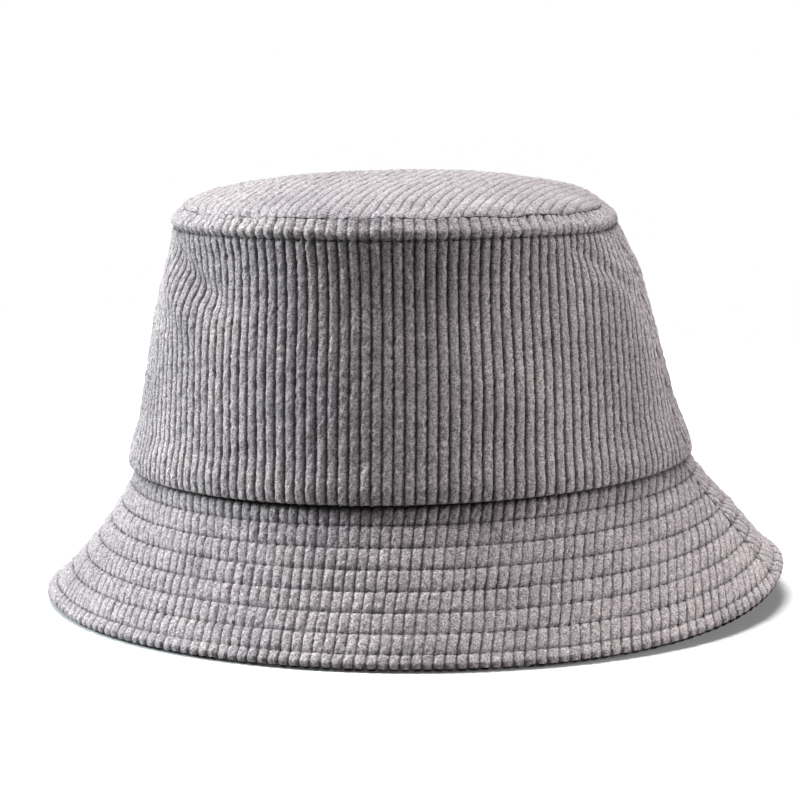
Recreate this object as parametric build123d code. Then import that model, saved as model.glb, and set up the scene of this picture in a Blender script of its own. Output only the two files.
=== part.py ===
from build123d import *
import math
import os

os.makedirs("parts", exist_ok=True)

# A soft bucket hat, standing on its brim.  The front is -Y, the side seams are at +X and -X,
# +Z is up and the floor is z = 0.  All sizes are millimetres.

# ---- head and plan -------------------------------------------------------------------------
HEAD_GIRTH = 565.0            # inside girth of the sweatband
DEPTH_RATIO = 1.03            # every ring is this much deeper than it is wide

# ---- cloth ---------------------------------------------------------------------------------
CORDUROY = 1.4                # thickness of the corduroy, wales included
INTERLINING = 0.6             # stiffener inside the brim
LINING = 0.4
SWEATBAND = 1.0
PLY_GAP = 0.12                # clearance between two layers of cloth
SEAM_GAP = 0.2                # clearance between two panels that meet at a seam
BAND_GAP = 0.4                # clearance between the seam allowances and the sweatband

# ---- brim ----------------------------------------------------------------------------------
BRIM_DROP = 50.0              # floor to the seam between brim and crown
BRIM_REACH = 33.2             # how far the brim edge stands out past that seam
BRIM_ROOT_SLOPE = 66.0        # degrees below level where the brim leaves the crown
BRIM_EDGE_SLOPE = 44.0        # degrees below level at the brim edge
SEAM_ALLOWANCE = 10.0         # brim cloth that runs up inside the crown
EDGE_ALLOWANCE = 3.5          # the interlining stops this far short of the edge
SIDE_LIFT = 9.0               # the brim edge stands this far off the floor beside the right seam
SIDE_LIFT_ANGLE = 110.0       # degrees from the front, towards +X, where it is highest
SIDE_LIFT_SPREAD = 30.0       # degrees over which the lift dies out

# ---- crown ---------------------------------------------------------------------------------
CROWN_HEIGHT = 90.7           # brim seam to tip seam, measured upright
WALL_SLOPE = 11.4             # degrees that the side wall leans in from upright
SHOULDER_DROP = 6.2           # the wall turns in this far below the tip seam
SHOULDER_INSET = 4.0          # the tip seam lies this far inside the shoulder
TIP_SEAM_SLOPE = 57.0         # degrees below level at the tip seam
TIP_RISE = 3.2                # tip seam up to the flat of the top
TIP_DOME = 0.8                # the middle of the top stands this much above its rim
TIP_RIM = 9.0                 # the top starts to round down this far in from the tip seam

# ---- how the soft hat stands ---------------------------------------------------------------
LEAN = -7.3                   # sideways shift of the tip seam, along X
LEAN_POWER = 1.4              # the lean grows with this power of the height
BASE_RISE_RIGHT = 2.5         # the crown seam is this much higher at +X than at its middle
TIP_RISE_RIGHT = 1.5          # the same for the tip seam
TIP_RISE_FRONT = 1.5          # the tip seam is this much higher at the front than at its middle

# ---- stitching and sweatband ---------------------------------------------------------------
THREAD = 0.5                  # diameter of the sewing thread
THREAD_GAP = 0.2              # clearance between thread and cloth
FIRST_ROW = 8.2               # brim seam to the first stitch row, along the brim
ROW_PITCH = 7.7               # spacing of the brim's stitch rows
ROW_COUNT = 7
TOPSTITCH_DROP = 7.4          # tip seam to the crown's topstitch row, along the wall
BAND_HEIGHT = 32.0            # height of the sweatband
BAND_STITCH = 3.0             # the sweatband's stitch row lies this far above its lower edge
RING_END_GAP = 0.3            # the ends of a band or thread row meet at the -X seam, this far apart
LINING_HEM = 2.0              # the lining stops this far above the brim seam

SECTION_STEP = 15             # degrees between the sections that a panel is lofted through
THREAD_SIDES = 6              # flats of a thread row's section


# ---- sizes that follow ---------------------------------------------------------------------
mean_ratio = math.sqrt((1 + DEPTH_RATIO ** 2) / 2)
head_half_width = HEAD_GIRTH / (2 * math.pi * mean_ratio)
brim_stack = 2 * CORDUROY + INTERLINING + 2 * PLY_GAP
lining_depth = CORDUROY + PLY_GAP
wall_stack = lining_depth + LINING + PLY_GAP
allowance_height = BRIM_DROP + SEAM_ALLOWANCE
tip_seam_height = BRIM_DROP + CROWN_HEIGHT
shoulder_height = tip_seam_height - SHOULDER_DROP
wall_run_in = math.tan(math.radians(WALL_SLOPE))
band_depth = wall_stack + brim_stack + BAND_GAP
wall_cosine = math.cos(math.radians(WALL_SLOPE))
wall_at_allowance = head_half_width + (band_depth + SWEATBAND) / wall_cosine


def wall_half_width(height):
    """Half-width of the outer face of the crown's straight wall at a height."""
    return wall_at_allowance - wall_run_in * (height - allowance_height)


shoulder_half_width = wall_half_width(shoulder_height)
tip_seam_half_width = shoulder_half_width - SHOULDER_INSET
brim_root_half_width = wall_half_width(BRIM_DROP) - wall_stack / wall_cosine
brim_edge_half_width = brim_root_half_width + BRIM_REACH
edge_rise = brim_stack / 2 * (1 + math.cos(math.radians(BRIM_EDGE_SLOPE)))


def down(slope):
    """Direction, half-width against height, that runs outward and down at a slope."""
    return (math.cos(math.radians(slope)), -math.sin(math.radians(slope)))


# ---- the outer lines of the hat's section, half-width against height -------------------------
tip_line = Spline(
    (0, tip_seam_height + TIP_RISE + TIP_DOME),
    (tip_seam_half_width - TIP_RIM, tip_seam_height + TIP_RISE),
    (tip_seam_half_width, tip_seam_height),
    tangents=[(1, 0), down(TIP_SEAM_SLOPE)],
)
wall_heights = [
    shoulder_height - share * (shoulder_height - BRIM_DROP) for share in (0, 0.12, 0.35, 0.7, 1)
]
wall_line = Spline(
    (tip_seam_half_width, tip_seam_height),
    *[(wall_half_width(height), height) for height in wall_heights],
    tangents=[down(TIP_SEAM_SLOPE), down(90 - WALL_SLOPE)],
)
brim_line = Spline(
    (brim_root_half_width, BRIM_DROP),
    (brim_edge_half_width, edge_rise),
    tangents=[down(BRIM_ROOT_SLOPE), down(BRIM_EDGE_SLOPE)],
)
allowance_line = Line(
    (wall_half_width(allowance_height) - wall_stack / wall_cosine, allowance_height),
    (brim_root_half_width, BRIM_DROP),
)


def under(line, run, depth):
    """Half-width and height of a point `run` along a line and `depth` below its outer face."""
    spot = line.position_at(run, position_mode=PositionMode.LENGTH)
    way = line.tangent_at(run, position_mode=PositionMode.LENGTH)
    return (spot.X + depth * way.Y, spot.Y - depth * way.X)


def brim_lift(angle, half_width):
    """How far the free brim is lifted off the floor at an angle and half-width."""
    reach = max(0.0, (half_width - brim_root_half_width) / BRIM_REACH)
    off = (angle - SIDE_LIFT_ANGLE + 180) % 360 - 180
    return SIDE_LIFT * reach ** 2 * math.exp(-((off / SIDE_LIFT_SPREAD) ** 2) / 2)


def lean(height):
    """Sideways shift of a ring at a height."""
    return LEAN * (max(height, 0.0) / tip_seam_height) ** LEAN_POWER


def place(spot, angle, shift=0.0):
    """Set a point of the section (half-width, height) at an angle round the hat."""
    half_width, height = spot
    side = math.sin(math.radians(angle))
    fore = math.cos(math.radians(angle))
    climb = (height - BRIM_DROP) / CROWN_HEIGHT
    if climb > 0:
        rise = (BASE_RISE_RIGHT + (TIP_RISE_RIGHT - BASE_RISE_RIGHT) * climb) * side
        rise += TIP_RISE_FRONT * climb * fore
    else:
        rise = BASE_RISE_RIGHT * (1 + climb * BRIM_DROP / (BRIM_DROP - edge_rise)) * side
        rise = rise if height > edge_rise else 0.0
    rise += brim_lift(angle, half_width)
    return Vector(
        lean(height) + half_width * side,
        -DEPTH_RATIO * half_width * fore + shift,
        height + rise,
    )


# ---- building blocks -----------------------------------------------------------------------
def section(faces, angle, shift):
    """Closed outline of a layer at an angle; each of its faces is a list of section points."""
    edges = []
    for points in faces:
        spots = [place(point, angle, shift) for point in points]
        edges.append(Line(*spots) if len(spots) == 2 else Spline(*spots))
    return Wire(edges)


def loft_round(faces, angles, shifts):
    """Loft a layer through its outlines at a run of angles."""
    outlines = [section(faces, angle, shift) for angle, shift in zip(angles, shifts)]
    return Solid.make_loft(outlines)


def half_panel(faces, half):
    """Front or back half of a layer, cut at the side seams."""
    first = -90 if half == "front" else 90
    clear = -SEAM_GAP / 2 if half == "front" else SEAM_GAP / 2
    angles = range(first, first + 181, SECTION_STEP)
    return loft_round(faces, angles, [clear] * len(angles))


def closed_layer(line, runs, outer, inner):
    """The four faces of a plain layer along a line, from depth `outer` to depth `inner`."""
    top = [under(line, run, outer) for run in runs]
    bottom = [under(line, run, inner) for run in reversed(runs)]
    return [top, [top[-1], bottom[0]], bottom, [bottom[-1], top[0]]]


def even_runs(first, last, count):
    """Evenly spaced distances along a line."""
    return [first + (last - first) * step / (count - 1) for step in range(count)]


# ---- crown ---------------------------------------------------------------------------------
def wall_layer(outer, inner, top_run, bottom_run):
    """A layer of the crown's side wall between two depths."""
    return closed_layer(wall_line, even_runs(top_run, bottom_run, 9), outer, inner)


def tip_layer(outer, inner):
    """A layer of the oval top: turned about the middle, drawn out front to back, tilted."""
    runs = even_runs(0, tip_line.length - SEAM_GAP / 2, 7)
    top = [under(tip_line, run, outer) for run in runs]
    bottom = [under(tip_line, run, inner) for run in reversed(runs)]
    outline = [
        Spline(*top, tangents=[tip_line % 0, tip_line % 1]),
        Line(top[-1], bottom[0]),
        Spline(*bottom, tangents=[-(tip_line % 1), -(tip_line % 0)]),
        Line(bottom[-1], top[0]),
    ]
    disc = revolve(Plane.XZ * make_face(outline), Axis.Z, 360)
    disc = scale(Pos(0, 0, -tip_seam_height) * disc, by=(1, DEPTH_RATIO, 1))
    nod = math.degrees(math.atan(TIP_RISE_FRONT / (DEPTH_RATIO * tip_seam_half_width)))
    roll = math.degrees(math.atan(TIP_RISE_RIGHT / tip_seam_half_width))
    return Pos(lean(tip_seam_height), 0, tip_seam_height) * Rot(-nod, -roll, 0) * disc


# ---- brim ----------------------------------------------------------------------------------
def brim_face(depth, last_run):
    """Points of one brim surface, from the top of its seam allowance outward."""
    allowance = [under(allowance_line, run, depth) for run in even_runs(0, allowance_line.length, 3)]
    return allowance[:-1] + [under(brim_line, run, depth) for run in even_runs(0, last_run, 8)]


def nose(turn):
    """Point on the rounded brim edge: 0 degrees is the upper side and 180 the under side."""
    radius = brim_stack / 2
    way = Vector(*down(BRIM_EDGE_SLOPE))
    inward = Vector(way.Y, -way.X)
    middle = Vector(*under(brim_line, brim_line.length, radius))
    swing = math.radians(turn)
    spot = middle - inward * radius * math.cos(swing) + way * radius * math.sin(swing)
    return (spot.X, spot.Y)


def brim_ply(upper):
    """Faces of the upper or the under corduroy ply, with its half of the turned edge."""
    depth = 0 if upper else brim_stack
    inner_depth = CORDUROY if upper else brim_stack - CORDUROY
    parting = math.degrees(math.asin(PLY_GAP / brim_stack))
    turns = (0, 30, 60, 90 - parting) if upper else (180, 150, 120, 90 + parting)
    outside = brim_face(depth, brim_line.length)
    edge = [nose(turn) for turn in turns]
    inside = brim_face(inner_depth, brim_line.length - EDGE_ALLOWANCE + PLY_GAP)[::-1]
    return [outside, edge, [edge[-1], inside[0]], inside, [inside[-1], outside[0]]]


def interlining_layer():
    """Faces of the stiffener between the two plies; it stops short of the turned edge."""
    outside = brim_face(CORDUROY + PLY_GAP, brim_line.length - EDGE_ALLOWANCE)
    inside = brim_face(CORDUROY + PLY_GAP + INTERLINING, brim_line.length - EDGE_ALLOWANCE)[::-1]
    return [outside, [outside[-1], inside[0]], inside, [inside[-1], outside[0]]]


# ---- sweatband and thread ------------------------------------------------------------------
def corner_loop(points):
    """Straight faces from each corner of an outline to the next."""
    return [[point, points[(index + 1) % len(points)]] for index, point in enumerate(points)]


def sweatband_ring():
    """The band inside the crown: over the seam allowances below, on the lining above."""
    foot = wall_line.length
    knee = foot - (SEAM_ALLOWANCE + PLY_GAP) / wall_cosine - PLY_GAP
    head = foot - BAND_HEIGHT
    spots = [(foot, band_depth), (knee, band_depth), (head, wall_stack)]
    outside = [under(wall_line, run, depth) for run, depth in spots]
    inside = [under(wall_line, run, depth + SWEATBAND) for run, depth in reversed(spots)]
    angles = range(-90, 271, SECTION_STEP)
    shifts = [ring_shift(angle) for angle in angles]
    return loft_round(corner_loop(outside + inside), angles, shifts)


def ring_shift(angle):
    """A ring follows the two halves, which stand apart, and opens a little where it ends."""
    apart = -SEAM_GAP / 2 * math.cos(math.radians(angle))
    return apart + RING_END_GAP / 2 * ((angle + 90) / 180 - 1)


def thread_ring(line, run, depth):
    """A row of sewing thread all the way round, at a depth along a line."""
    middle = under(line, run, depth)
    turns = [math.tau * side / THREAD_SIDES for side in range(THREAD_SIDES)]
    corners = [
        (middle[0] + THREAD / 2 * math.cos(turn), middle[1] + THREAD / 2 * math.sin(turn))
        for turn in turns
    ]
    angles = range(-90, 271, SECTION_STEP)
    return loft_round(corner_loop(corners), angles, [ring_shift(angle) for angle in angles])


thread_seat = THREAD / 2 + THREAD_GAP


def brim_stitch_row(index):
    """Needle thread on the brim and bobbin thread under it."""
    run = FIRST_ROW + index * ROW_PITCH
    rings = [thread_ring(brim_line, run, depth) for depth in (-thread_seat, brim_stack + thread_seat)]
    return Compound(rings)


# ---- the pieces ----------------------------------------------------------------------------
pieces = {
    "crown_top": tip_layer(0, CORDUROY),
    "lining_top": tip_layer(lining_depth, lining_depth + LINING),
    "sweatband": sweatband_ring(),
    "crown_topstitch": thread_ring(wall_line, TOPSTITCH_DROP, -thread_seat),
    "sweatband_stitch": thread_ring(
        wall_line, wall_line.length - BAND_STITCH, band_depth + SWEATBAND + thread_seat
    ),
}
for half in ("front", "back"):
    wall_top = SEAM_GAP / 2
    wall_end = wall_line.length
    pieces[f"crown_{half}"] = half_panel(wall_layer(0, CORDUROY, wall_top, wall_end), half)
    pieces[f"lining_{half}"] = half_panel(
        wall_layer(lining_depth, lining_depth + LINING, wall_top, wall_end - LINING_HEM), half
    )
    pieces[f"brim_top_{half}"] = half_panel(brim_ply(True), half)
    pieces[f"brim_under_{half}"] = half_panel(brim_ply(False), half)
    pieces[f"brim_interlining_{half}"] = half_panel(interlining_layer(), half)
for index in range(ROW_COUNT):
    pieces[f"brim_stitch_row_{index + 1}"] = brim_stitch_row(index)

for name, piece in pieces.items():
    export_step(piece, f"parts/{name}.step")
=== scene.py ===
"""Corduroy bucket hat: cloth, stitching, floor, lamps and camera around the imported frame."""

import math

import bpy
import numpy as np
from mathutils import Matrix, Vector


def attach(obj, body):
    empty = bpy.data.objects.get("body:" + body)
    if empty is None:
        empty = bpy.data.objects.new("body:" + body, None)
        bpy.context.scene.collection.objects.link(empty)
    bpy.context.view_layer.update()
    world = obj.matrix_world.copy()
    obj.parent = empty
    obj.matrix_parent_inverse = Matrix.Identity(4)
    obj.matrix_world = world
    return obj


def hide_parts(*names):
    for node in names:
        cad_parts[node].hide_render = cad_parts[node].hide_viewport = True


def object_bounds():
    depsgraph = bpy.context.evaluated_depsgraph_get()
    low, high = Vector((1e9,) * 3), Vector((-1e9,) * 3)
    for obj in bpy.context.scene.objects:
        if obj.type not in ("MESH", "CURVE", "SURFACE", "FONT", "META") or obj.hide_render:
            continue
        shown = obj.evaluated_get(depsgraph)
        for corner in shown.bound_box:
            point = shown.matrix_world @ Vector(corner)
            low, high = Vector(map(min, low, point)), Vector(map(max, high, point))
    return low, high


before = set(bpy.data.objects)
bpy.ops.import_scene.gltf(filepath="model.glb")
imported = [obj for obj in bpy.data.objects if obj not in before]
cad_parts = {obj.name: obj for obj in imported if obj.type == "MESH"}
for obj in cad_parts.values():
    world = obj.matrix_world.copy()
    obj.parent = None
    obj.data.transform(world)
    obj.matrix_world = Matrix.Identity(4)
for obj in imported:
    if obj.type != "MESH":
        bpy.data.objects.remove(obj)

bl_info = {
    "name": "Corduroy bucket hat",
    "version": (1, 0, 0),
    "blender": (4, 5, 0),
    "location": "3D View > Sidebar > Hat",
    "description": "Sews a wide-wale corduroy bucket hat round its construction frame",
    "category": "Object",
}


def plain_box(box):
    """A box as two plain lists of numbers."""
    return [[float(value) for value in corner] for corner in box]


CAD_BOX = plain_box(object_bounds())
MM = (CAD_BOX[1][0] - CAD_BOX[0][0]) / 258.4      # one pattern millimetre, from the hat's width

# The pattern, in pattern millimetres and degrees; it follows the construction solids.
# Heights are above the table, slopes are below level, and depths are inward from the cloth's face.
BRIM_DROP = 50.0                      # height of the brim seam
BRIM_ROOT = 95.46                     # half-width of the brim at its seam
BRIM_EDGE = 128.66                    # half-width of the brim at its edge
EDGE_HEIGHT = 3.1                     # height of the brim's face at its edge
BRIM_SLOPES = (66.0, 44.0)            # at the seam and at the edge
STACK = 3.64                          # thickness of the brim with all its plies
WALL_SLOPE = 11.4                     # of the crown wall, from upright
WALL_FOOT = 97.55                     # half-width of the wall at its foot
WALL_TAPER = 0.235                    # how fast the flat pattern of the wall narrows
CROWN_HEIGHT = 90.7                   # from the brim seam to the tip seam
SEAM_HEIGHT = BRIM_DROP + CROWN_HEIGHT
SHOULDER_DROP = 6.2                   # from the tip seam to where the wall turns straight
SHOULDER_INSET = 4.0
STRAIGHT_DROP = 10.0                  # from there to the first spot of the straight wall
SHOULDER_SLOPE = 72.0
SEAM_SLOPE = 57.0                     # of the tip at its seam
SEAM_BREAK = 8.0                      # by how much the wall starts flatter than that
TIP_RISE = 3.2
TIP_DOME = 0.8
TIP_RIM = 9.0                         # width of the sloping rim of the tip
RIM_SLOPE = 3.0                       # of the tip where the rim starts
DEPTH_RATIO = 1.03                    # depth of the oval to its width
LEAN = -7.3                           # sideways shift of the tip
LEAN_POWER = 1.4
TILT_SIDE = 2.5                       # rise of the hat's left side over its middle
TILT_FORE = 1.5                       # rise of the tip's front over its middle
LIFT = 9.0                            # lift of the brim's edge at its most lifted spot
LIFT_ANGLE = 110.0
LIFT_SPREAD = 30.0
TOPSTITCH = 8.0                       # from the tip seam to the crown's stitch row
THREAD_DEPTH = 0.75                   # middle of a sewing thread under the cloth's pattern face
INTERLINING_DEPTH = 1.53
INTERLINING = 0.58
LINING_DEPTH = 1.7
BAND_TOP_DEPTH = 2.3                  # the sweatband's upper edge lies close to the wall
BAND_DEPTH = 6.3
BAND_KNEE = 10.6                      # height of the sweatband's upright foot
BAND_HEIGHT = 32.0
BAND_STITCH = 3.0                     # from the sweatband's foot to its stitch row
BAND = 1.0
ROWS = 7                              # stitch rows round the brim
WALL_RADIUS = 95.0                    # middle radius of the crown wall, for ways round it
SEAM_RADIUS = 78.0                    # the same for the tip seam
BRIM_RADIUS = 105.0                   # the same for the stitch rows
ALL_ROUND = 2000                      # a spread in degrees so wide that a swell goes all round

# Swells and dents of the soft cloth: (angle, run), (spread in degrees, in mm), height.
WALL_SWELLS = (
    ((0, 91), (ALL_ROUND, 6), 1.9),
    ((-38, 22), (8, 9), -1.4),
    ((-52, 34), (9, 12), 1.0),
    ((-62, 24), (20, 11), -1.5),
    ((-20, 30), (12, 16), 0.8),
    ((16, 45), (16, 16), -1.1),
    ((8, 26), (32, 13), -3.0),
    ((6, 72), (36, 14), 1.3),
    ((30, 58), (7, 8), 0.9),
    ((70, 34), (10, 12), 0.9),
    ((0, 5.2), (ALL_ROUND, 2.6), 1.1),
)
TIP_SWELLS = (((16, 68), (12, 6), -1.8),)
BRIM_SWELLS = (((-72, 57), (10, 8), 0.9), ((98, 30), (26, 17), 4.2))
TIP_SWELL = 2.9                       # how much the soft tip domes over its pattern

# Folds of the wall: from (angle, run), to (angle, run), width, height.
WALL_CREASES = (
    ((-66, 12), (-34, 31), 4.0, -2.3),
    ((-68, 22), (-40, 42), 5.0, 1.5),
    ((62, 12), (84, 34), 4.0, -1.2),
)

# The corner of the crown sags and is drawn in: (angle, spread, size).
SLUMPS = ((92, 42, 4.2), (180, 50, 2.4), (-82, 40, 2.6))
TUCKS = ((92, 36, 4.4), (-80, 32, 2.4))

# Lamps: name, spot and side in metres, power in watts, tint.
LAMPS = (
    ("left_lamp", (-2.1, -0.2, 0.8), 0.6, 58, (0.88, 1.0, 1.03)),
    ("right_lamp", (1.9, 0.15, 0.42), 0.6, 21, (1.0, 0.99, 0.99)),
    ("top_lamp", (-0.28, 0.12, 1.95), 1.0, 44, (0.97, 1.0, 1.0)),
)
LAMP_AIM = 0.08                       # height that the lamps point at
FLOOR_HALF = 0.62                     # half the side of the floor
FLOOR_SEEN = (0.96, 0.96, 0.96)
FLOOR_LIT = (0.32, 0.32, 0.32)        # what the floor gives back to the hat
FLOOR_GLOW = 0.06
WORLD_LIGHT = 0.035

# The camera: degrees, pattern millimetres, and the lens in millimetres.
CAMERA_TURN = 13.0
CAMERA_TILT = 9.38
CAMERA_AWAY = 1560
CAMERA_AIM = 68.4
CAMERA_SHIFT = 5.56
CAMERA_LENS = 198.5

INTERLINING_COLOUR = (0.62, 0.60, 0.56)
TAU = 2 * math.pi


class HatSizes(bpy.types.PropertyGroup):
    """Sizes of cloth and stitching that a user would change."""

    wale: bpy.props.FloatProperty(
        name="Wale pitch", description="From one cord of the corduroy to the next",
        default=3.7 * MM, unit="LENGTH")
    cord_height: bpy.props.FloatProperty(
        name="Cord height", description="Height of a cord above its groove",
        default=1.05 * MM, unit="LENGTH")
    first_row: bpy.props.FloatProperty(
        name="First stitch row", description="From the brim seam, along the brim",
        default=8.2 * MM, unit="LENGTH")
    row_pitch: bpy.props.FloatProperty(
        name="Stitch row pitch", description="Spacing of the brim's stitch rows",
        default=7.7 * MM, unit="LENGTH")
    pinch: bpy.props.FloatProperty(
        name="Stitch pinch", description="How deep a stitch row pulls the brim in",
        default=0.55 * MM, unit="LENGTH")
    stitch: bpy.props.FloatProperty(
        name="Stitch length", description="From one needle hole to the next",
        default=3.3 * MM, unit="LENGTH")
    thread: bpy.props.FloatProperty(
        name="Thread", description="Diameter of the sewing thread",
        default=0.5 * MM, unit="LENGTH")
    softness: bpy.props.FloatProperty(
        name="Softness", description="Strength of the dents and swells of the soft cloth",
        default=1.0, min=0.0, max=2.0)


class HatColours(bpy.types.PropertyGroup):
    """Colours of the cloth and thread."""

    crest: bpy.props.FloatVectorProperty(
        name="Cord crest", description="Colour on top of the cords",
        subtype="COLOR", size=3, min=0, max=1, default=(0.48, 0.425, 0.43))
    # The groove colour is painted shade: the near-black of the shaded hollows between the cords.
    groove: bpy.props.FloatVectorProperty(
        name="Groove", description="Colour between the cords",
        subtype="COLOR", size=3, min=0, max=1, default=(0.022, 0.019, 0.02))
    # The thread colour is near black, though the real thread is cloth-coloured: painted shade that
    # makes the stitch rows and needle holes read dark.
    thread: bpy.props.FloatVectorProperty(
        name="Thread", description="Colour of the sewing thread",
        subtype="COLOR", size=3, min=0, max=1, default=(0.055, 0.048, 0.05))
    lining: bpy.props.FloatVectorProperty(
        name="Lining", description="Colour of the lining",
        subtype="COLOR", size=3, min=0, max=1, default=(0.09, 0.082, 0.088))
    band: bpy.props.FloatVectorProperty(
        name="Sweatband", description="Colour of the sweatband",
        subtype="COLOR", size=3, min=0, max=1, default=(0.13, 0.118, 0.124))


def sizes():
    """The sizes in pattern millimetres."""
    group = bpy.context.scene.hat_sizes
    return {name: getattr(group, name) / (1 if name == "softness" else MM)
            for name in ("wale", "cord_height", "first_row", "row_pitch", "pinch", "stitch",
                         "thread", "softness")}


# ---- section lines ---------------------------------------------------------------------------
def hermite(points, slopes, count=240):
    """Smooth line through (half-width, height) points; slopes are degrees below level."""
    points = np.array(points, float)
    ways = np.array([(math.cos(math.radians(s)), -math.sin(math.radians(s))) for s in slopes])
    parts = []
    for start, end, way_a, way_b in zip(points[:-1], points[1:], ways[:-1], ways[1:]):
        chord = np.linalg.norm(end - start)
        t = np.linspace(0, 1, count)[:, None]
        parts.append((2 * t**3 - 3 * t**2 + 1) * start + (t**3 - 2 * t**2 + t) * way_a * chord
                     + (3 * t**2 - 2 * t**3) * end + (t**3 - t**2) * way_b * chord)
    line = np.concatenate(parts)
    step = np.linalg.norm(np.diff(line, axis=0), axis=1)
    run = np.concatenate([[0], np.cumsum(step)])
    return run, line


def wall_half_width(height):
    """Half-width of the straight wall at a height."""
    return WALL_FOOT - math.tan(math.radians(WALL_SLOPE)) * (height - BRIM_DROP)


SHOULDER = (wall_half_width(SEAM_HEIGHT - SHOULDER_DROP), SEAM_HEIGHT - SHOULDER_DROP)
TIP_SEAM = (SHOULDER[0] - SHOULDER_INSET, SEAM_HEIGHT)
BELOW = SHOULDER[1] - STRAIGHT_DROP
LINES = {
    "tip": hermite(
        [(0, SEAM_HEIGHT + TIP_RISE + TIP_DOME), (TIP_SEAM[0] - TIP_RIM, SEAM_HEIGHT + TIP_RISE),
         TIP_SEAM], [0, RIM_SLOPE, SEAM_SLOPE]),
    "wall": hermite(
        [TIP_SEAM, SHOULDER, (wall_half_width(BELOW), BELOW), (WALL_FOOT, BRIM_DROP)],
        [SEAM_SLOPE - SEAM_BREAK, SHOULDER_SLOPE, 90 - WALL_SLOPE, 90 - WALL_SLOPE]),
    "brim": hermite([(BRIM_ROOT, BRIM_DROP), (BRIM_EDGE, EDGE_HEIGHT)], BRIM_SLOPES),
}
LENGTH = {part: LINES[part][0][-1] for part in LINES}


def ripple(a, b, seed, waves=7):
    """Smooth seeded unevenness, about -1 to 1, over two coordinates in millimetres."""
    draw = np.random.default_rng(seed)
    total = np.zeros(np.broadcast(a, b).shape)
    for _ in range(waves):
        turn, phase, pace = draw.uniform(0, TAU), draw.uniform(0, TAU), draw.uniform(0.5, 1.6)
        total = total + np.sin((a * math.cos(turn) + b * math.sin(turn)) * pace + phase)
    return total / math.sqrt(waves) / 1.4


def way_round(angle, radius):
    """Millimetres round the hat for an angle in degrees."""
    return angle * TAU / 360 * radius


def turn_from(angle, middle):
    """Degrees from a middle angle, the short way round."""
    return (angle - middle + 180) % 360 - 180


def bump_at(angle, run, where, spread, height):
    """A soft swell or dent: angles in degrees, runs in millimetres."""
    off = turn_from(angle, where[0])
    return height * np.exp(-((off / spread[0]) ** 2 + ((run - where[1]) / spread[1]) ** 2) / 2)


def crease(angle, run, start, end, wide, height):
    """A straight fold between two (angle, run) spots, that dies out at its ends."""
    per_degree = 1.66
    x, y = (angle - start[0]) * per_degree, run - start[1]
    way = np.array([(end[0] - start[0]) * per_degree, end[1] - start[1]])
    size = np.linalg.norm(way)
    along = (x * way[0] + y * way[1]) / size
    off = (y * way[0] - x * way[1]) / size
    ends = np.exp(-(((along - size / 2) / (size * 0.5)) ** 4))
    return height * ends * np.exp(-((off / wide) ** 2))


def arc(angle, middle, spread):
    """1 at an angle round the hat, dying out over the spread."""
    return np.exp(-((turn_from(angle, middle) / spread) ** 2))


def smooth(value, low, high):
    """0 below low, 1 above high, smooth between."""
    t = np.clip((value - low) / (high - low), 0, 1)
    return t * t * (3 - 2 * t)


def softness_of(part, angle, run):
    """How far the soft cloth stands off its pattern shape, outward, in millimetres."""
    around = way_round(angle, WALL_RADIUS)
    if part == "wall":
        swell = 0.5 * ripple(around / 30, run / 24, 11) * smooth(run, 4, 30)
        swells = WALL_SWELLS
        for start, end, wide, height in WALL_CREASES:
            swell = swell + crease(angle, run, start, end, wide, height)
    elif part == "tip":
        swell = 0.35 * ripple(run * np.cos(np.radians(angle)) / 20,
                              run * np.sin(np.radians(angle)) / 20, 23)
        swell += TIP_SWELL * (1 - np.clip(run / LENGTH["tip"], 0, 1) ** 2.2) ** 1.3
        swells = TIP_SWELLS
    else:
        swell = 0.45 * ripple(around / 36, run / 40, 37) * smooth(run, 0, 25)
        swells = BRIM_SWELLS
    for where, spread, height in swells:
        swell = swell + bump_at(angle, run, where, spread, height)
    return swell


def place(part, angle, run, depth=0.0, soft=1.0):
    """Points of the hat, in metres, at angles and runs and sunk into the cloth by a depth."""
    runs, line = LINES[part]
    half = np.interp(run, runs, line[:, 0])
    height = np.interp(run, runs, line[:, 1])
    ahead = np.clip(run + 0.4, 0, runs[-1])
    back = np.clip(run - 0.4, 0, runs[-1])
    way_x = np.interp(ahead, runs, line[:, 0]) - np.interp(back, runs, line[:, 0])
    way_z = np.interp(ahead, runs, line[:, 1]) - np.interp(back, runs, line[:, 1])
    scale = np.hypot(way_x, way_z)
    off = softness_of(part, angle, run) * soft - depth
    half = half - way_z / scale * off
    height = height + way_x / scale * off
    past = np.maximum(run - runs[-1], 0)
    half = half + way_x / scale * past
    height = height + way_z / scale * past
    return set_round(part, half, height, angle)


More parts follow.
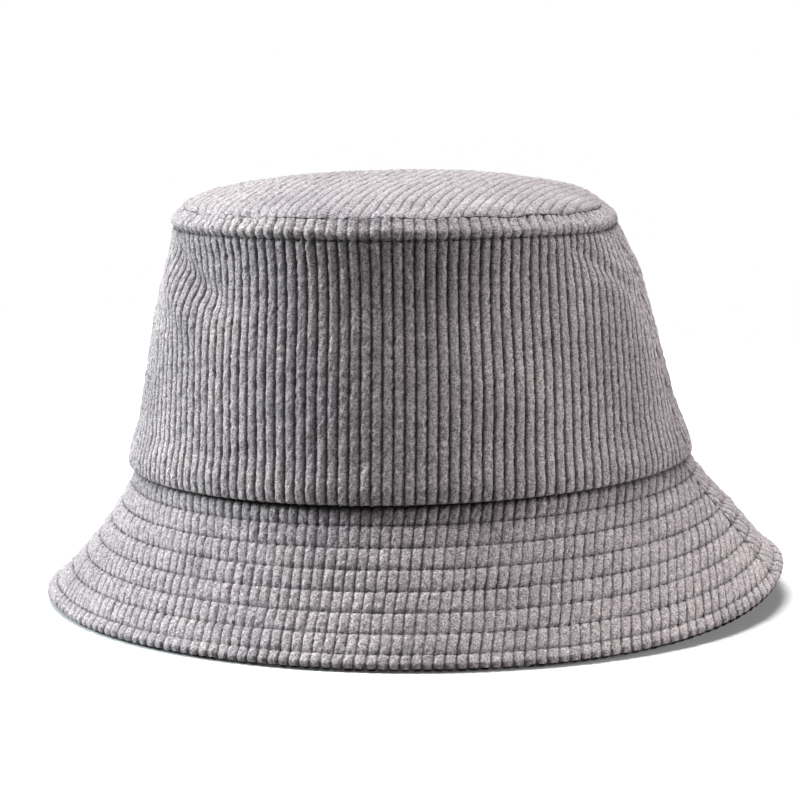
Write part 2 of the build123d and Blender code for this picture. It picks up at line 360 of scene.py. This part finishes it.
def set_round(part, half, height, angle):
    """Turn a section point round the oval hat, with its lean, tilt and lifted brim."""
    side, fore = np.sin(np.radians(angle)), np.cos(np.radians(angle))
    level = TIP_SEAM[1] if part == "tip" else height
    slump = tuck = 0.0
    if part != "brim":
        near = smooth(half / TIP_SEAM[0], 0.45, 1.0) if part == "tip" else (
            1 - smooth(SEAM_HEIGHT - height, 0, 30))
        slump = near * sum(drop * arc(angle, middle, wide) for middle, wide, drop in SLUMPS)
        tuck = near * sum(draw * arc(angle, middle, wide) for middle, wide, draw in TUCKS)
    lean = LEAN * (np.maximum(level, 0) / SEAM_HEIGHT) ** LEAN_POWER
    climb = (level - BRIM_DROP) / CROWN_HEIGHT
    share = half / TIP_SEAM[0] if part == "tip" else 1.0
    rise_high = ((TILT_SIDE - climb) * side + TILT_FORE * climb * fore) * share
    low = BRIM_DROP - EDGE_HEIGHT
    rise_low = TILT_SIDE * np.clip(1 + climb * CROWN_HEIGHT / low, 0, 1) * side
    rise = np.where(climb > 0, rise_high, rise_low)
    if part == "brim":
        reach = np.maximum(0, (half - BRIM_ROOT) / (BRIM_EDGE - BRIM_ROOT))
        off = turn_from(angle, LIFT_ANGLE)
        rise = rise + LIFT * reach**2 * np.exp(-((off / LIFT_SPREAD) ** 2) / 2)
    half = half - tuck
    spot = [lean + half * side, -DEPTH_RATIO * half * fore, height + rise - slump]
    return np.stack(np.broadcast_arrays(*spot), -1) * MM


def normals(part, angle, run):
    """Outward normals of the soft surface."""
    step_a, step_r = 0.4, 0.5
    over = place(part, angle + step_a, run) - place(part, angle - step_a, run)
    down = (place(part, angle, np.minimum(run + step_r, LENGTH[part]))
            - place(part, angle, np.maximum(run - step_r, 0)))
    out = np.cross(over, down)
    out /= np.maximum(np.linalg.norm(out, axis=-1, keepdims=True), 1e-12)
    inward = (out[..., 2] < 0) if part == "tip" else (
        out[..., 0] * np.sin(np.radians(angle)) - out[..., 1] * np.cos(np.radians(angle)) < 0)
    return np.where(inward[..., None], -out, out)


# ---- meshes ----------------------------------------------------------------------------------
def make_mesh(name, points, faces, finish, shades=None, flat=None):
    """A smooth mesh object from points and faces, with a shade per point and a flat layout."""
    faces = np.asarray(faces)
    used = np.unique(faces)
    index = np.full(len(points), -1)
    index[used] = np.arange(len(used))
    faces, points = index[faces], points[used]
    points[:, 2] = np.maximum(points[:, 2], CAD_BOX[0][2])
    mesh = bpy.data.meshes.new(name)
    mesh.from_pydata(points.tolist(), [], faces.tolist())
    mesh.polygons.foreach_set("use_smooth", np.ones(len(mesh.polygons), bool))
    if shades is not None:
        # The crest attribute holds each point's painted shade, which the corduroy finish turns
        # into colour.
        layer = mesh.attributes.new("crest", "FLOAT", "POINT")
        layer.data.foreach_set("value", np.clip(shades[used], 0, 1).astype(np.float32))
    if flat is not None:
        uv = mesh.uv_layers.new(name="OFBake")
        corner = np.empty(len(mesh.loops), np.int32)
        mesh.loops.foreach_get("vertex_index", corner)
        uv.data.foreach_set("uv", flat[used][corner].astype(np.float32).ravel())
    mesh.update()
    piece = bpy.data.objects.new(name, mesh)
    bpy.context.scene.collection.objects.link(piece)
    mesh.materials.append(finish)
    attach(piece, "root")
    return piece


def grid_faces(points, flip=False, wrap=False):
    """Quads of a grid of points, without the ones that a seam has closed up."""
    rows, columns = points.shape[:2]
    index = np.arange(rows * columns).reshape(rows, columns)
    if wrap:
        index = np.concatenate([index, index[:, :1]], 1)
    quads = np.stack([index[:-1, :-1], index[1:, :-1], index[1:, 1:], index[:-1, 1:]], -1)
    quads = quads.reshape(-1, 4)
    corner = points.reshape(-1, 3)[quads]
    across = np.cross(corner[:, 2] - corner[:, 0], corner[:, 3] - corner[:, 1])
    area = np.linalg.norm(across, axis=1)
    quads = quads[area > (0.02 * MM) ** 2]
    return quads[:, ::-1] if flip else quads


def layout(rows, columns):
    """Flat picture coordinates of a grid."""
    v, u = np.meshgrid(np.linspace(0.01, 0.99, rows), np.linspace(0.01, 0.99, columns),
                       indexing="ij")
    return np.stack([u, v], -1).reshape(-1, 2)


def cord_profile(across, pitch):
    """Height of the cords, 0 in a groove and 1 on a crest."""
    off = 2 * np.abs(across / pitch - np.round(across / pitch))
    return np.sqrt(1 - 0.99 * off**1.8)


def groove_shade(cord, lift):
    """Painted shade along a cord's side: dark only deep in the groove."""
    return lift + (1 - lift) * smooth(cord, 0.12, 1.0)


def nap(across, along, seed):
    """Fine unevenness of the pile."""
    draw = np.random.default_rng(seed)
    rough = draw.normal(0, 1, np.broadcast(across, along).shape)
    return (rough + np.roll(rough, 1, 0) + np.roll(rough, 1, 1)) / 1.7


def gathers(angle, off_seam):
    """Small puckers where the tip seam takes up the cloth's fullness, on both its sides."""
    around = way_round(angle, SEAM_RADIUS)
    pucker = 0.7 * ripple(around / 2.6, off_seam / 4, 31) + 0.5 * ripple(around / 9, 0, 57)
    return pucker * np.exp(-((off_seam / 5.0) ** 2))


def panel_grid(part, size, per_wale, row_step):
    """Angles, runs and across-grain distances of a half panel, columns along the cords."""
    runs, line = LINES[part]
    taper = WALL_TAPER if part == "wall" else (line[-1, 0] - line[0, 0]) / runs[-1]
    last = LENGTH[part]
    reach = line[-1, 0] / taper - runs[-1]
    edge = (reach + last) * math.sin(taper * math.pi / 2)
    step = size["wale"] / per_wale
    count = int(edge / step) + 1
    across = np.arange(-count, count + 1)[None, :] * step
    hit = size["first_row"] if part == "brim" else TOPSTITCH
    run = np.arange(hit % row_step, last, row_step)
    run = np.concatenate([[0.0], run[run > row_step / 4], [last]])[:, None]
    wander = 0.25 * ripple(across / 14, run / 16, 5)
    if part == "brim":
        wander = wander + 0.3 * ripple(across / 7, run / 4, 61)
    share = np.clip((across + wander) / (reach + run), -1, 1)
    angle = np.clip(np.degrees(np.arcsin(share)) / taper, -90, 90)
    return angle, run + 0 * across, across + 0 * run


def pinch_rows(part, run, size, angle):
    """How much the stitch rows pull the cloth in, 0 to 1, a little more at each needle hole."""
    rows, wide = [TOPSTITCH], 0.85
    if part == "brim":
        rows, wide = [size["first_row"] + i * size["row_pitch"] for i in range(ROWS)], 0.62
    pull = 0.82 + 0.18 * np.cos(TAU * way_round(angle, BRIM_RADIUS) / size["stitch"])
    return sum(np.exp(-(((run - row) / wide) ** 2)) * pull for row in rows)


def puffed(part, run, size):
    """The cloth swelling between stitch rows, or between tip seam and topstitch, 0 to 1."""
    if part != "brim":
        return np.exp(-(((run - 5.4) / 1.9) ** 2))
    phase = (run - size["first_row"]) / size["row_pitch"]
    return np.abs(np.sin(math.pi * phase)) ** 0.8 * (1 - 0.35 * (phase % 1))


def corduroy_half(name, part, half, under=False, per_wale=8, row_step=1.0):
    """One half panel of corduroy, cords and all; the brim's run round their half of the edge."""
    size = sizes()
    turned = part == "brim"
    angle, run, across = panel_grid(part, size, per_wale, row_step)
    seam = np.exp(-(((90 - np.abs(angle)) / 0.75) ** 2))
    pinch = pinch_rows(part, run, size, angle)
    cord = cord_profile(across, size["wale"])
    if half == "back":
        angle = 180 - angle
    tall = size["cord_height"] * (1 - 0.5 * np.clip(pinch, 0, 1)) * (1 - 0.5 * seam)
    tall = tall * (0.68 if turned else 0.5 + 0.5 * smooth(run, 0, 4))
    fuzz = nap(across, run, len(name))
    relief = tall * (cord - 1) - size["pinch"] * pinch * (1.15 if turned else 2.0) - 0.9 * seam
    relief = relief + 0.13 * fuzz + 0.18 * ripple(across / 1.6, run / 2.2, 7)
    relief = relief + (0.42 if turned else 0.5) * puffed(part, run, size)
    if turned:
        relief = relief - 1.9 * np.exp(-((run / 2.0) ** 2))
    else:
        relief = relief + gathers(angle, run) + 0.1 * np.exp(-((run / 1.1) ** 2))
    out = normals(part, angle, run)
    soft = size["softness"]
    depth, side = (STACK, -1) if under else (0.0, 1)
    points = place(part, angle, run, depth, soft) + side * out * (relief * MM)[..., None]
    # Painted shade in the grooves. It is kept weak and uneven on the brim and nearly gone on the
    # band under the tip seam, which paints those lit faces lighter; on the wall it is deeper and
    # wider.
    if turned:
        lift, power = 0.27 + 0.2 * ripple(across / 4, run / 5, 71), 1.0
    else:
        lift, power = 0.85 * (1 - smooth(run, 5.5, 8.5)), 1.55
    shade = groove_shade(cord, np.clip(lift, 0, 0.5)) ** power + 0.08 * fuzz
    # Painted shade in the pinched stitch rows and in the dent of the side seam.
    shade = shade * (1 - 0.68 * np.clip(pinch, 0, 1)) * (1 - 0.4 * seam)
    if turned:
        # Painted shadow along the brim's root, under the crown's overhanging hem.
        shade = shade * smooth(run, 0.8, 5.0)
        extra, tone = rolled_edge(points[-1], out[-1], angle[-1], cord[-1], under, size)
    else:
        extra, tone = rolled_hem(points[-1], out[-1], cord[-1])
        allowance = np.array([place("tip", angle[0], LENGTH["tip"] - back, 1.5, soft)
                              for back in (4.0, 2.0, 0.6)])
        points = np.concatenate([allowance, points])
        # The seam allowance inside the tip seam gets painted shade.
        shade = np.concatenate([0 * allowance[..., 0] + 0.7, shade])
    points = np.concatenate([points, extra])
    shade = np.concatenate([shade, tone])
    faces = grid_faces(points, flip=(half == "back") == under)
    piece = make_mesh(f"{name}_cloth", points.reshape(-1, 3), faces, material("corduroy"),
                      shade.ravel(), layout(*shade.shape))
    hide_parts(name)


def rolled_edge(last, out, angle, cord, under, size):
    """Rows that carry a ply round its half of the turned brim edge."""
    radius = STACK / 2
    way = (place("brim", angle, np.full(angle.shape, LENGTH["brim"]), 0)
           - place("brim", angle, np.full(angle.shape, LENGTH["brim"] - 1.0), 0))
    way /= np.linalg.norm(way, axis=-1, keepdims=True)
    outward = -out if under else out
    middle = last - outward * radius * MM
    rows, tones = [], []
    for turn in np.radians([16, 33, 50, 67, 84]):
        height = radius + size["cord_height"] * (cord - 1) * math.sin(turn) * 0.7
        spot = middle + outward * (radius * math.cos(turn) * MM) \
            + way * (height * math.sin(turn) * MM)[:, None]
        rows.append(spot)
        # Painted shade that deepens as the edge turns round.
        tones.append(cord * (0.95 - 0.1 * turn))
    return np.array(rows), np.array(tones)


def rolled_hem(last, out, cord):
    """Rows that carry the crown's lower edge inward and up, over the brim seam."""
    radius = 1.3
    rows, tones = [], []
    for turn in np.radians([25, 50, 75, 100, 130, 160]):
        spot = last - out * (radius * (1 - math.cos(turn)) * MM)
        spot = spot - np.array([0, 0, radius * math.sin(turn) * MM])
        rows.append(spot)
        # Painted shade, deepening as the hem turns under towards the brim seam.
        tones.append(cord * (1 - 0.3 * turn))
    return np.array(rows), np.array(tones)


def corduroy_top():
    """The oval top panel; its cords run front to back and round down to the tip seam."""
    size = sizes()
    limit = TIP_SEAM[0] - 0.15
    columns = int(round(2 * limit / size["wale"] * 10)) + 1
    across = np.linspace(-limit, limit, columns)[None, :]
    rows = 190
    t = np.sin(np.linspace(-1, 1, rows) * math.pi / 2 * 0.999)[:, None]
    along = t * np.sqrt(np.maximum(limit**2 - across**2, 0))
    flat_radius = np.hypot(across + 0 * along, along)
    angle = np.degrees(np.arctan2(across + 0 * along, -along))
    runs, line = LINES["tip"]
    run = np.interp(flat_radius, line[:, 0], runs)
    cord = cord_profile(across + 0.25 * ripple(across / 12, along / 18, 9), size["wale"])
    edge = np.exp(-(((LENGTH["tip"] - run) / 1.2) ** 2))
    fuzz = nap(across, along, 3)
    relief = 0.6 * size["cord_height"] * (cord - 1) * (1 - 0.5 * edge) + 0.1 * edge
    relief = relief + gathers(angle, LENGTH["tip"] - run)
    relief = relief + 0.10 * fuzz + 0.16 * ripple(across / 1.6, along / 2.2, 8)
    out = normals("tip", angle, np.maximum(run, 0.5))
    points = place("tip", angle, run, 0.0, size["softness"]) + out * (relief * MM)[..., None]
    # Painted light and shade: the grooves' painted shade is kept weak so the top reads lighter,
    # and it deepens a little towards the tip seam.
    shade = (groove_shade(cord, 0.42) + 0.08 * fuzz) * (1 - 0.2 * edge)
    piece = make_mesh("crown_top_cloth", points.reshape(-1, 3), grid_faces(points, flip=True),
                      material("corduroy"), shade.ravel(), layout(*shade.shape))
    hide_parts("crown_top")


def thin_ring(name, part, spots, slot, half=None, thickness=0.4):
    """A thin smooth layer inside the hat through (run, depth) spots, with its own thickness."""
    angles = np.linspace(0, 360, 289)[:-1][None, :]
    if half:
        start = -90 if half == "front" else 90
        angles = np.linspace(start + 0.05, start + 179.95, 145)[None, :]
    spots = np.array(spots + [(run, depth + thickness) for run, depth in spots[::-1]] + spots[:1])
    run = spots[:, 0][:, None] + 0 * angles
    depth = spots[:, 1][:, None] + 0 * angles
    points = place(part, angles + 0 * run, run, depth, sizes()["softness"])
    faces = grid_faces(points, wrap=half is None)
    piece = make_mesh(f"{name}_cloth", points.reshape(-1, 3), faces, material(slot), None,
                      layout(*run.shape))
    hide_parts(name)


def fill_between(spots, step=2.5):
    """More spots along the straight stretches of a short list."""
    full = [spots[0]]
    for start, end in zip(spots[:-1], spots[1:]):
        count = max(1, int(round(math.dist(start, end) / step)))
        full += [tuple(np.array(start) + (np.array(end) - start) * i / count)
                 for i in range(1, count + 1)]
    return [(float(a), float(b)) for a, b in full]


def stitch_row(name, lanes):
    """A row of separate stitches; each lane is (part, run, depth, way it sinks at the holes)."""
    size = sizes()
    points, faces, base = [], [], 0
    sides, rings = 6, 7
    draw = np.random.default_rng(sum(map(ord, name)))
    for part, run, depth, inward in lanes:
        half = np.interp(run, LINES[part][0], LINES[part][1][:, 0])
        count = int(TAU * half * 1.015 / size["stitch"])
        for number in range(count):
            middle = 360 * number / count + draw.normal(0, 0.04)
            reach = 360 / count * 0.5 * 0.86
            t = np.linspace(-1, 1, rings)
            angle = middle + reach * t
            runs = run + draw.normal(0, 0.07) + 0.10 * t
            sink = depth + inward * 0.55 * np.abs(t) ** 3
            line = place(part, angle, runs, sink, size["softness"])
            way = np.gradient(line, axis=0)
            way /= np.linalg.norm(way, axis=1, keepdims=True)
            out = normals(part, angle, runs)
            other = np.cross(way, out)
            turn = np.linspace(0, TAU, sides, endpoint=False)
            thick = size["thread"] / 2 * MM * (1 - 0.55 * np.abs(t) ** 4)
            ring = (line[:, None] + thick[:, None, None] * (
                np.cos(turn)[None, :, None] * out[:, None] + np.sin(turn)[None, :, None]
                * other[:, None]))
            points.append(ring.reshape(-1, 3))
            index = base + np.arange(rings * sides).reshape(rings, sides)
            after = np.roll(index, -1, 1)
            quads = np.stack([index[:-1], index[1:], after[1:], after[:-1]], -1)
            faces += quads.reshape(-1, 4).tolist()
            for cap in (index[0], index[-1][::-1]):
                faces += [[cap[0], cap[1], cap[2], cap[3]], [cap[0], cap[3], cap[4], cap[5]]]
            base += rings * sides
    piece = make_mesh(f"{name}_stitches", np.concatenate(points), faces, material("thread"))
    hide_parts(name)


# ---- materials -------------------------------------------------------------------------------
class Nodes:
    """Short way to lay out a material's nodes."""

    def __init__(self, name):
        self.material = bpy.data.materials.new(name)
        self.material.use_nodes = True
        self.tree = self.material.node_tree
        self.shader = self.tree.nodes["Principled BSDF"]

    def add(self, kind, **values):
        """A node of a kind, with its settings filled in."""
        node = self.tree.nodes.new(kind)
        for key, value in values.items():
            setattr(node, key, value)
        return node

    def link(self, source, target):
        """Join an output to an input."""
        self.tree.links.new(source, target)

    def noise(self, scale, detail=3.0, rough=0.6, stretch=(1, 1, 1)):
        """Noise in the object's own metres."""
        place_node = self.add("ShaderNodeTexCoord")
        mapping = self.add("ShaderNodeMapping")
        mapping.inputs["Scale"].default_value = stretch
        texture = self.add("ShaderNodeTexNoise")
        texture.inputs["Scale"].default_value = scale
        texture.inputs["Detail"].default_value = detail
        texture.inputs["Roughness"].default_value = rough
        self.link(place_node.outputs["Object"], mapping.inputs["Vector"])
        self.link(mapping.outputs["Vector"], texture.inputs["Vector"])
        return texture.outputs["Fac"]

    def ramp(self, source, stops):
        """Map a value through (position, colour) stops."""
        node = self.add("ShaderNodeValToRGB")
        elements = node.color_ramp.elements
        for index, (place_at, colour) in enumerate(stops):
            element = elements[index] if index < 2 else elements.new(place_at)
            element.position = place_at
            element.color = (*colour, 1)
        self.link(source, node.inputs["Fac"])
        return node.outputs["Color"]

    def mix(self, kind, factor, first, second):
        """Mix two colours; the factor may be a number or a link."""
        node = self.add("ShaderNodeMix", data_type="RGBA", blend_type=kind)
        for socket, value in (("Factor", factor), ("A", first), ("B", second)):
            target = [s for s in node.inputs if s.name == socket and s.enabled][0]
            if isinstance(value, bpy.types.NodeSocket):
                self.link(value, target)
            elif socket == "Factor":
                target.default_value = value
            else:
                target.default_value = (*value, 1)
        return [s for s in node.outputs if s.enabled][0]

    def bump(self, height, distance, strength, before=None):
        """Raise fine relief from a height."""
        node = self.add("ShaderNodeBump")
        node.inputs["Strength"].default_value = strength
        node.inputs["Distance"].default_value = distance
        self.link(height, node.inputs["Height"])
        if before:
            self.link(before, node.inputs["Normal"])
        return node.outputs["Normal"]


def corduroy_material():
    """Cut-pile cotton: speckled nap, painted shade in the grooves, stitch rows and seams, brushed
    lighter and darker patches.
    """
    colours = bpy.context.scene.hat_colours
    n = Nodes("corduroy")
    # The crest attribute picks between the groove colour, which is painted shade, and the crest
    # colour.
    crest = n.add("ShaderNodeAttribute", attribute_name="crest")
    base = n.ramp(crest.outputs["Fac"], [
        (0.0, tuple(colours.groove)), (0.85, tuple(colours.crest)),
        (0.5, tuple(0.5 * a + 0.5 * b for a, b in zip(colours.crest, colours.groove)))])
    patches = n.ramp(n.noise(26.0, 3, 0.55),
                     [(0.32, (0.80, 0.80, 0.83)), (0.68, (1.13, 1.12, 1.12))])
    speckle = n.ramp(n.noise(1750.0, 2, 0.75),
                     [(0.34, (0.30, 0.29, 0.30)), (0.66, (1.75, 1.75, 1.75))])
    fleck = n.ramp(n.noise(620.0, 2, 0.6),
                   [(0.34, (0.76, 0.76, 0.77)), (0.66, (1.22, 1.22, 1.22))])
    colour = n.mix("MULTIPLY", 1.0, base, patches)
    colour = n.mix("MULTIPLY", 0.9, colour, speckle)
    colour = n.mix("MULTIPLY", 0.9, colour, fleck)
    n.link(colour, n.shader.inputs["Base Color"])
    n.shader.inputs["Roughness"].default_value = 0.96
    n.shader.inputs["Specular IOR Level"].default_value = 0.12
    n.shader.inputs["Sheen Weight"].default_value = 0.22
    n.shader.inputs["Sheen Roughness"].default_value = 0.45
    fine = n.bump(n.noise(1900.0, 2, 0.7), 0.00035, 0.55)
    n.link(n.bump(n.noise(800.0, 2, 0.6), 0.0005, 0.5, fine), n.shader.inputs["Normal"])
    return n.material


def woven_material(name, colour, thread_size, rough=0.85):
    """Plain woven cloth: crossing threads in the weave's own scale."""
    n = Nodes(name)
    scale = 1 / thread_size
    warp = n.noise(scale, 1, 0.5, (1, 1, 0.12))
    weft = n.noise(scale, 1, 0.5, (0.15, 0.15, 1))
    tone = n.ramp(warp, [(0.3, tuple(0.72 * c for c in colour)),
                         (0.7, tuple(1.15 * c for c in colour))])
    cross = n.ramp(weft, [(0.3, (0.82, 0.82, 0.82)), (0.7, (1.1, 1.1, 1.1))])
    n.link(n.mix("MULTIPLY", 1.0, tone, cross), n.shader.inputs["Base Color"])
    n.shader.inputs["Roughness"].default_value = rough
    n.shader.inputs["Specular IOR Level"].default_value = 0.2
    n.shader.inputs["Sheen Weight"].default_value = 0.15
    first = n.bump(warp, 0.0002, 0.5)
    n.link(n.bump(weft, 0.0002, 0.5, first), n.shader.inputs["Normal"])
    return n.material


MADE = {}                             # the finishes made so far, by slot


def material(name):
    """The finish of a slot, made once."""
    if name in MADE:
        return MADE[name]
    colours = bpy.context.scene.hat_colours
    if name == "corduroy":
        made = corduroy_material()
    elif name == "thread":
        made = woven_material(name, tuple(colours.thread), 0.0006)
    elif name == "lining":
        made = woven_material(name, tuple(colours.lining), 0.0005, 0.6)
    elif name == "sweatband":
        made = woven_material(name, tuple(colours.band), 0.0007)
    else:
        made = woven_material(name, INTERLINING_COLOUR, 0.0008)
    MADE[name] = made
    return made


# ---- operators -------------------------------------------------------------------------------
class HAT_OT_crown(bpy.types.Operator):
    """Sew the two halves of the crown wall and the oval top"""

    bl_idname = "hat.crown"
    bl_label = "Crown"

    def execute(self, context):
        for half in ("front", "back"):
            corduroy_half(f"crown_{half}", "wall", half, row_step=0.75)
        corduroy_top()
        return {"FINISHED"}


class HAT_OT_brim(bpy.types.Operator):
    """Sew the upper and under plies of the brim"""

    bl_idname = "hat.brim"
    bl_label = "Brim"

    def execute(self, context):
        for half in ("front", "back"):
            corduroy_half(f"brim_top_{half}", "brim", half, row_step=0.7)
            corduroy_half(f"brim_under_{half}", "brim", half, under=True, per_wale=6,
                          row_step=0.8)
        return {"FINISHED"}


class HAT_OT_inside(bpy.types.Operator):
    """Lay in the lining, the interlining and the sweatband"""

    bl_idname = "hat.inside"
    bl_label = "Lining and sweatband"

    def execute(self, context):
        wall = LENGTH["wall"]
        for half in ("front", "back"):
            spots = fill_between([(0.4, LINING_DEPTH), (wall - 2, LINING_DEPTH)])
            thin_ring(f"lining_{half}", "wall", spots, "lining", half)
            spots = fill_between([(0.4, INTERLINING_DEPTH),
                                  (LENGTH["brim"] - 4, INTERLINING_DEPTH)])
            thin_ring(f"brim_interlining_{half}", "brim", spots, "interlining", half,
                      INTERLINING)
        spots = fill_between([(0.5, LINING_DEPTH), (LENGTH["tip"] - 0.4, LINING_DEPTH)])
        thin_ring("lining_top", "tip", spots, "lining")
        spots = fill_between([(wall - BAND_HEIGHT, BAND_TOP_DEPTH),
                              (wall - BAND_KNEE, BAND_DEPTH), (wall, BAND_DEPTH)])
        thin_ring("sweatband", "wall", spots, "sweatband", None, BAND)
        return {"FINISHED"}


class HAT_OT_stitching(bpy.types.Operator):
    """Run the stitch rows of the brim, the crown and the sweatband"""

    bl_idname = "hat.stitching"
    bl_label = "Stitching"

    def execute(self, context):
        size = sizes()
        for index in range(ROWS):
            run = size["first_row"] + index * size["row_pitch"]
            stitch_row(f"brim_stitch_row_{index + 1}", [
                ("brim", run, THREAD_DEPTH, 1), ("brim", run, STACK - THREAD_DEPTH, -1)])
        stitch_row("crown_topstitch", [("wall", TOPSTITCH, THREAD_DEPTH, 1)])
        stitch_row("sweatband_stitch", [
            ("wall", LENGTH["wall"] - BAND_STITCH, BAND_DEPTH + 1.1, -1)])
        return {"FINISHED"}


class HAT_OT_stage(bpy.types.Operator):
    """Set the floor, the lamps, the backdrop and the camera"""

    bl_idname = "hat.stage"
    bl_label = "Stage"

    def execute(self, context):
        floor_and_world()
        lamps()
        camera()
        return {"FINISHED"}


def seen_directly(tree):
    """1 for camera, glossy and transmission rays, so that they see the pale background."""
    path = tree.nodes.new("ShaderNodeLightPath")
    first = tree.nodes.new("ShaderNodeMath")
    second = tree.nodes.new("ShaderNodeMath")
    first.operation = second.operation = "MAXIMUM"
    tree.links.new(path.outputs["Is Camera Ray"], first.inputs[0])
    tree.links.new(path.outputs["Is Glossy Ray"], first.inputs[1])
    tree.links.new(first.outputs[0], second.inputs[0])
    tree.links.new(path.outputs["Is Transmission Ray"], second.inputs[1])
    return second.outputs[0]


def floor_and_world():
    """A pale floor that keeps the shadow, and a white backdrop that adds very little light."""
    corners = [(x * FLOOR_HALF, y * FLOOR_HALF, 0)
               for x, y in ((-1, -1), (1, -1), (1, 1), (-1, 1))]
    mesh = bpy.data.meshes.new("floor")
    mesh.from_pydata(corners, [], [(0, 1, 2, 3)])
    floor = bpy.data.objects.new("floor", mesh)
    bpy.context.scene.collection.objects.link(floor)
    floor.location.z = CAD_BOX[0][2] - 0.0002
    n = Nodes("floor_paper")
    seen = seen_directly(n.tree)
    n.link(n.mix("MIX", seen, FLOOR_LIT, FLOOR_SEEN), n.shader.inputs["Base Color"])
    n.shader.inputs["Roughness"].default_value = 1.0
    n.shader.inputs["Specular IOR Level"].default_value = 0.0
    n.shader.inputs["Emission Color"].default_value = (1, 1, 1, 1)
    glow = n.add("ShaderNodeMath", operation="MULTIPLY")
    glow.inputs[1].default_value = FLOOR_GLOW
    n.link(seen, glow.inputs[0])
    n.link(glow.outputs[0], n.shader.inputs["Emission Strength"])
    mesh.materials.append(n.material)
    world = bpy.data.worlds.new("studio")
    world.use_nodes = True
    bpy.context.scene.world = world
    tree = world.node_tree
    background = tree.nodes["Background"]
    background.inputs["Color"].default_value = (1, 1, 1, 1)
    strength = tree.nodes.new("ShaderNodeMapRange")
    strength.inputs["To Min"].default_value = WORLD_LIGHT
    strength.inputs["To Max"].default_value = 1.0
    tree.links.new(seen_directly(tree), strength.inputs["Value"])
    tree.links.new(strength.outputs["Result"], background.inputs["Strength"])


def lamps():
    """Soft lamps: a strong one at the left, a weaker one at the right and one overhead."""
    middle = Vector((0, 0, LAMP_AIM))
    for name, spot, side, power, tint in LAMPS:
        data = bpy.data.lights.new(name, "AREA")
        data.shape = "SQUARE"
        data.size = side
        data.energy = power
        data.color = tint
        lamp = bpy.data.objects.new(name, data)
        lamp.location = spot
        lamp.rotation_euler = (middle - Vector(spot)).to_track_quat("-Z", "Y").to_euler()
        bpy.context.scene.collection.objects.link(lamp)


def camera():
    """A long lens a little above the brim, turned from the front towards the hat's left."""
    turn, tilt = math.radians(CAMERA_TURN), math.radians(CAMERA_TILT)
    back = Vector((math.sin(turn) * math.cos(tilt), -math.cos(turn) * math.cos(tilt),
                   math.sin(tilt)))
    right = Vector((math.cos(turn), math.sin(turn), 0))
    target = Vector((0, 0, CAMERA_AIM * MM)) - right * CAMERA_SHIFT * MM
    data = bpy.data.cameras.new("camera")
    data.lens = CAMERA_LENS
    data.sensor_width = 36
    data.clip_end = 20
    eye = bpy.data.objects.new("camera", data)
    up = back.cross(right)
    eye.matrix_world = Matrix.Translation(target + back * CAMERA_AWAY * MM) @ Matrix(
        (right, up, back)).transposed().to_4x4()
    bpy.context.scene.collection.objects.link(eye)
    bpy.context.scene.camera = eye
    bpy.context.scene.view_settings.view_transform = "Standard"


# ---- panel and registration ------------------------------------------------------------------
class HAT_PT_panel(bpy.types.Panel):
    """Lists the hat's sizes, colours and making steps"""

    bl_idname = "HAT_PT_panel"
    bl_label = "Bucket hat"
    bl_space_type = "VIEW_3D"
    bl_region_type = "UI"
    bl_category = "Hat"

    def draw(self, context):
        for group in (context.scene.hat_sizes, context.scene.hat_colours):
            for name in group.__annotations__:
                self.layout.prop(group, name)
        for operator in OPERATORS:
            self.layout.operator(operator.bl_idname)


OPERATORS = (HAT_OT_stage, HAT_OT_crown, HAT_OT_brim, HAT_OT_inside, HAT_OT_stitching)
CLASSES = (HatSizes, HatColours, *OPERATORS, HAT_PT_panel)


def register():
    for item in CLASSES:
        bpy.utils.register_class(item)
    bpy.types.Scene.hat_sizes = bpy.props.PointerProperty(type=HatSizes)
    bpy.types.Scene.hat_colours = bpy.props.PointerProperty(type=HatColours)


def unregister():
    del bpy.types.Scene.hat_colours
    del bpy.types.Scene.hat_sizes
    for item in reversed(CLASSES):
        bpy.utils.unregister_class(item)


def main():
    """Make the whole hat and its stage."""
    register()
    bpy.ops.hat.stage()
    bpy.ops.hat.crown()
    bpy.ops.hat.brim()
    bpy.ops.hat.inside()
    bpy.ops.hat.stitching()
    bpy.context.view_layer.update()


if __name__ == "__main__":
    main()
